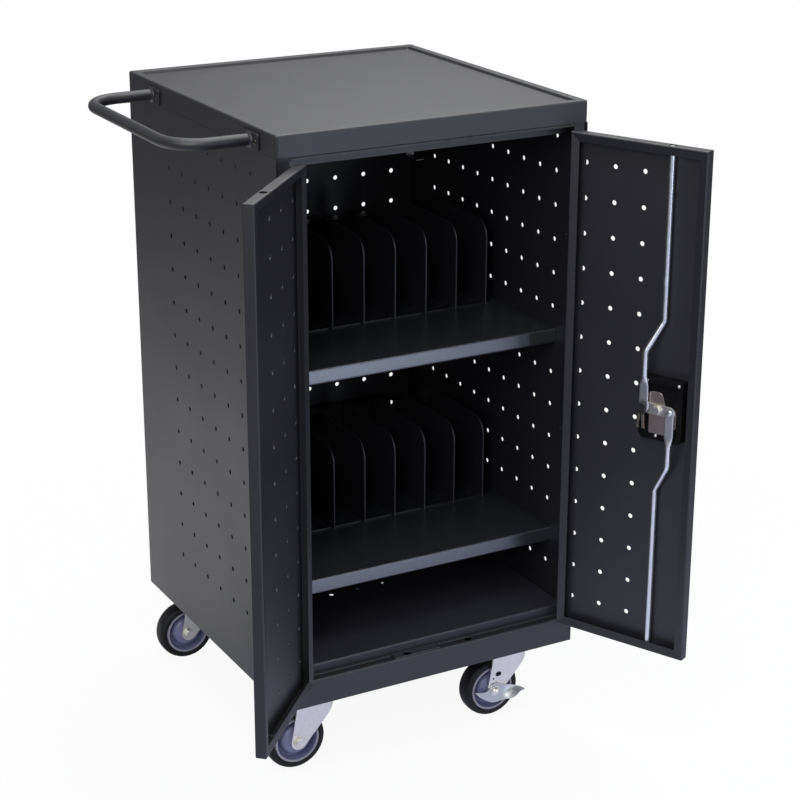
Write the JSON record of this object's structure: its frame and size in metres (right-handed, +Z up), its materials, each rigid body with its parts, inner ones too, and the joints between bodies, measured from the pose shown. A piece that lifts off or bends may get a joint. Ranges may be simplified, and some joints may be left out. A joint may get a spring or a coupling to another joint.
{
  "type": "laptop charging cart",
  "caption": "Black steel laptop charging cart on swivel casters, with perforated locking double doors, slotted shelves, power strips and a side push handle.",
  "frame": {"origin": "on the floor, under the centre of the box around the whole cart with its doors open as at rest", "axes": "+Z up, +Y from the front with the doors to the back, +X to the right seen from the front"},
  "size_m": [0.7682, 0.8162, 1.09],
  "materials": {
    "powder_coat": "fine textured black powder coat",
    "zinc": "bright zinc plate",
    "black_plastic": "moulded, fine grain",
    "hub_plastic": "moulded blue grey",
    "tyre": "solid tread, matt",
    "brass": "worn key brass"
  },
  "bodies": {
    "cabinet": {"base_plate": "powder_coat", "door_catch": "zinc", "floor_pan": "powder_coat", "front_header": "powder_coat", "front_left_caster_plate": "zinc", "front_right_caster_plate": "zinc", "front_sill": "powder_coat", "left_jamb": "powder_coat", "left_lower_hinge_pintle": "powder_coat", "left_side_panel": "powder_coat", "left_upper_hinge_pintle": "powder_coat", "lower_divider_rack": "powder_coat", "lower_power_strip": "black_plastic", "lower_shelf": "powder_coat", "power_inlet": "black_plastic", "push_handle": "powder_coat", "rear_left_caster_plate": "zinc", "rear_panel": "powder_coat", "rear_right_caster_plate": "zinc", "right_jamb": "powder_coat", "right_lower_hinge_pintle": "powder_coat", "right_side_panel": "powder_coat", "right_upper_hinge_pintle": "powder_coat", "top_cap": "powder_coat", "upper_divider_rack": "powder_coat", "upper_power_strip": "black_plastic", "upper_shelf": "powder_coat"},
    "right_door": {"right_door": "powder_coat", "lock_cup": "black_plastic", "lock_bracket": "zinc", "right_lower_hinge_barrel": "powder_coat", "right_upper_hinge_barrel": "powder_coat"},
    "left_door": {"left_door": "powder_coat", "left_lower_hinge_barrel": "powder_coat", "left_upper_hinge_barrel": "powder_coat"},
    "lock": {"turn_handle": "zinc", "lock_cam": "zinc"},
    "upper_rod": {"upper_lock_rod": "zinc", "key_pair": "brass"},
    "lower_rod": {"lower_lock_rod": "zinc"},
    "upper_switch": {"upper_strip_switch": "black_plastic"},
    "lower_switch": {"lower_strip_switch": "black_plastic"},
    "front_left_swivel": {"front_left_fork": "zinc", "front_left_axle": "zinc"},
    "front_left_wheel": {"front_left_hub": "hub_plastic", "front_left_tyre": "tyre"},
    "front_right_swivel": {"front_right_fork": "zinc", "front_right_axle": "zinc"},
    "front_right_wheel": {"front_right_hub": "hub_plastic", "front_right_tyre": "tyre"},
    "front_right_pedal": {"front_right_brake_pedal": "zinc"},
    "rear_left_swivel": {"rear_left_fork": "zinc", "rear_left_axle": "zinc"},
    "rear_left_wheel": {"rear_left_hub": "hub_plastic", "rear_left_tyre": "tyre"},
    "rear_right_swivel": {"rear_right_fork": "zinc", "rear_right_axle": "zinc"},
    "rear_right_wheel": {"rear_right_hub": "hub_plastic", "rear_right_tyre": "tyre"},
    "rear_right_pedal": {"rear_right_brake_pedal": "zinc"}
  },
  "joints": [
    {"name": "left_door_hinge", "type": "hinge", "parent": "cabinet", "child": "left_door", "pos_m": [-0.21664, -0.1734, 0.619], "axis": [0, 0, 1], "range_deg": [-46.5, 133.5]},
    {"name": "right_door_hinge", "type": "hinge", "parent": "cabinet", "child": "right_door", "pos_m": [0.28336, -0.1734, 0.619], "axis": [0, 0, 1], "range_deg": [-115, 65]},
    {"name": "lock_turn", "type": "hinge", "parent": "right_door", "child": "lock", "pos_m": [0.34798, -0.34629, 0.621], "axis": [0.9063, 0.4226, 0], "range_deg": [0, 90.1]},
    {"name": "upper_rod_slide", "type": "slide", "parent": "right_door", "child": "upper_rod", "axis": [0, 0, 1], "range_m": [0, 0.024]},
    {"name": "lower_rod_slide", "type": "slide", "parent": "right_door", "child": "lower_rod", "axis": [0, 0, -1], "range_m": [0, 0.0241]},
    {"name": "upper_switch_rock", "type": "hinge", "parent": "cabinet", "child": "upper_switch", "pos_m": [0.21936, 0.367, 0.77], "axis": [1, 0, 0], "range_deg": [-17, 0]},
    {"name": "lower_switch_rock", "type": "hinge", "parent": "cabinet", "child": "lower_switch", "pos_m": [0.21936, 0.367, 0.406], "axis": [1, 0, 0], "range_deg": [-17, 0]},
    {"name": "front_left_caster_swivel", "type": "hinge", "parent": "cabinet", "child": "front_left_swivel", "pos_m": [-0.15664, -0.1029, 0.119], "axis": [0, 0, 1], "continuous": true},
    {"name": "front_left_wheel_spin", "type": "hinge", "parent": "front_left_swivel", "child": "front_left_wheel", "pos_m": [-0.19864, -0.1029, 0.0525], "axis": [0, 1, 0], "continuous": true},
    {"name": "front_right_caster_swivel", "type": "hinge", "parent": "cabinet", "child": "front_right_swivel", "pos_m": [0.22336, -0.1029, 0.119], "axis": [0, 0, 1], "continuous": true},
    {"name": "front_right_wheel_spin", "type": "hinge", "parent": "front_right_swivel", "child": "front_right_wheel", "pos_m": [0.18136, -0.1029, 0.0525], "axis": [0, 1, 0], "continuous": true},
    {"name": "front_right_pedal_press", "type": "hinge", "parent": "front_right_swivel", "child": "front_right_pedal", "pos_m": [0.18136, -0.1029, 0.0525], "axis": [0, 1, 0], "range_deg": [0, 18]},
    {"name": "rear_left_caster_swivel", "type": "hinge", "parent": "cabinet", "child": "rear_left_swivel", "pos_m": [-0.15664, 0.3571, 0.119], "axis": [0, 0, 1], "continuous": true},
    {"name": "rear_left_wheel_spin", "type": "hinge", "parent": "rear_left_swivel", "child": "rear_left_wheel", "pos_m": [-0.19864, 0.3571, 0.0525], "axis": [0, 1, 0], "continuous": true},
    {"name": "rear_right_caster_swivel", "type": "hinge", "parent": "cabinet", "child": "rear_right_swivel", "pos_m": [0.22336, 0.3571, 0.119], "axis": [0, 0, 1], "continuous": true},
    {"name": "rear_right_wheel_spin", "type": "hinge", "parent": "rear_right_swivel", "child": "rear_right_wheel", "pos_m": [0.18136, 0.3571, 0.0525], "axis": [0, 1, 0], "continuous": true},
    {"name": "rear_right_pedal_press", "type": "hinge", "parent": "rear_right_swivel", "child": "rear_right_pedal", "pos_m": [0.18136, 0.3571, 0.0525], "axis": [0, 1, 0], "range_deg": [0, 18]}
  ],
  "couplings": [
    {"joint": "lock_turn", "follows": "upper_rod_slide", "rad_per_m": 65.45},
    {"joint": "lower_rod_slide", "follows": "upper_rod_slide", "ratio": 1}
  ]
}
